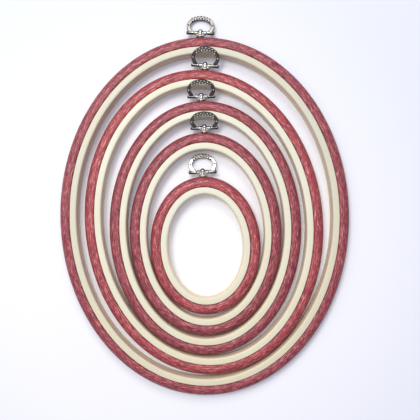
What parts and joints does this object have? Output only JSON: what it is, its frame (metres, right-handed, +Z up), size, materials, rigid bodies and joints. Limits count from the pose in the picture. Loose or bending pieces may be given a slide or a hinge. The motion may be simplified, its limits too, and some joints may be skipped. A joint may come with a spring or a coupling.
{
  "type": "embroidery hoop set",
  "caption": "Nest of oval needlework display hoops: rigid inner rings, stretched vinyl outer rings and beaded metal hanging bails that swing on hinge pins.",
  "frame": {"origin": "middle of the nest's footprint, on the surface that the hoops lie on", "axes": "+Z up off the surface, face of the hoops up; +Y along the hoops' long axes, towards the hangers; +X to the right"},
  "size_m": [0.209, 0.2758, 0.0162],
  "materials": {
    "cream_plastic": "satin",
    "rose_vinyl": "satin",
    "dusky_vinyl": "satin",
    "aged_silver": "satin"
  },
  "bodies": {
    "hoop1_inner": {"hoop1_inner_ring": "cream_plastic"},
    "hoop1_outer": {"hoop1_outer_ring": "dusky_vinyl", "hoop1_hanger_eye": "aged_silver"},
    "hoop1_hanger": {"hoop1_hinge_pin": "aged_silver", "hoop1_bail": "aged_silver"},
    "hoop2_inner": {"hoop2_inner_ring": "cream_plastic"},
    "hoop2_outer": {"hoop2_outer_ring": "rose_vinyl", "hoop2_hanger_eye": "aged_silver"},
    "hoop2_hanger": {"hoop2_hinge_pin": "aged_silver", "hoop2_bail": "aged_silver"},
    "hoop3_inner": {"hoop3_inner_ring": "cream_plastic"},
    "hoop3_outer": {"hoop3_outer_ring": "dusky_vinyl", "hoop3_hanger_eye": "aged_silver"},
    "hoop3_hanger": {"hoop3_hinge_pin": "aged_silver", "hoop3_bail": "aged_silver"},
    "hoop4_inner": {"hoop4_inner_ring": "cream_plastic"},
    "hoop4_outer": {"hoop4_outer_ring": "dusky_vinyl", "hoop4_hanger_eye": "aged_silver"},
    "hoop4_hanger": {"hoop4_hinge_pin": "aged_silver", "hoop4_bail": "aged_silver"},
    "hoop5_inner": {"hoop5_inner_ring": "cream_plastic"},
    "hoop5_outer": {"hoop5_outer_ring": "rose_vinyl", "hoop5_hanger_eye": "aged_silver"},
    "hoop5_hanger": {"hoop5_hinge_pin": "aged_silver", "hoop5_bail": "aged_silver"}
  },
  "joints": [
    {"name": "hoop1_outer_ring_off", "type": "slide", "parent": "hoop1_inner", "child": "hoop1_outer", "axis": [0, 0, 1], "range_m": [0, 0.03]},
    {"name": "hoop1_bail_swing", "type": "hinge", "parent": "hoop1_outer", "child": "hoop1_hanger", "pos_m": [-0.00319, 0.12396, 0.00515], "axis": [0.9995, -0.0315, 0], "range_deg": [-114, 145]},
    {"name": "hoop2_lift_out", "type": "slide", "parent": "hoop1_inner", "child": "hoop2_inner", "axis": [0, 0, 1], "range_m": [0, 0.03]},
    {"name": "hoop2_outer_ring_off", "type": "slide", "parent": "hoop2_inner", "child": "hoop2_outer", "axis": [0, 0, 1], "range_m": [0, 0.03]},
    {"name": "hoop2_bail_swing", "type": "hinge", "parent": "hoop2_outer", "child": "hoop2_hanger", "pos_m": [0.00021, 0.10037, 0.00515], "axis": [0.9977, -0.0678, 0], "range_deg": [0, 90]},
    {"name": "hoop3_lift_out", "type": "slide", "parent": "hoop2_inner", "child": "hoop3_inner", "axis": [0, 0, 1], "range_m": [0, 0.03]},
    {"name": "hoop3_outer_ring_off", "type": "slide", "parent": "hoop3_inner", "child": "hoop3_outer", "axis": [0, 0, 1], "range_m": [0, 0.03]},
    {"name": "hoop3_bail_swing", "type": "hinge", "parent": "hoop3_outer", "child": "hoop3_hanger", "pos_m": [-0.00249, 0.07795, 0.00515], "axis": [0.9999, 0.0118, 0], "range_deg": [0, 82]},
    {"name": "hoop4_lift_out", "type": "slide", "parent": "hoop3_inner", "child": "hoop4_inner", "axis": [0, 0, 1], "range_m": [0, 0.03]},
    {"name": "hoop4_outer_ring_off", "type": "slide", "parent": "hoop4_inner", "child": "hoop4_outer", "axis": [0, 0, 1], "range_m": [0, 0.03]},
    {"name": "hoop4_bail_swing", "type": "hinge", "parent": "hoop4_outer", "child": "hoop4_hanger", "pos_m": [-0.00024, 0.05519, 0.00515], "axis": [0.9997, 0.0242, 0], "range_deg": [0, 85]},
    {"name": "hoop5_lift_out", "type": "slide", "parent": "hoop4_inner", "child": "hoop5_inner", "axis": [0, 0, 1], "range_m": [0, 0.03]},
    {"name": "hoop5_outer_ring_off", "type": "slide", "parent": "hoop5_inner", "child": "hoop5_outer", "axis": [0, 0, 1], "range_m": [0, 0.03]},
    {"name": "hoop5_bail_swing", "type": "hinge", "parent": "hoop5_outer", "child": "hoop5_hanger", "pos_m": [-0.0015, 0.02321, 0.00515], "axis": [0.9993, 0.0369, 0], "range_deg": [-119, 153]}
  ]
}
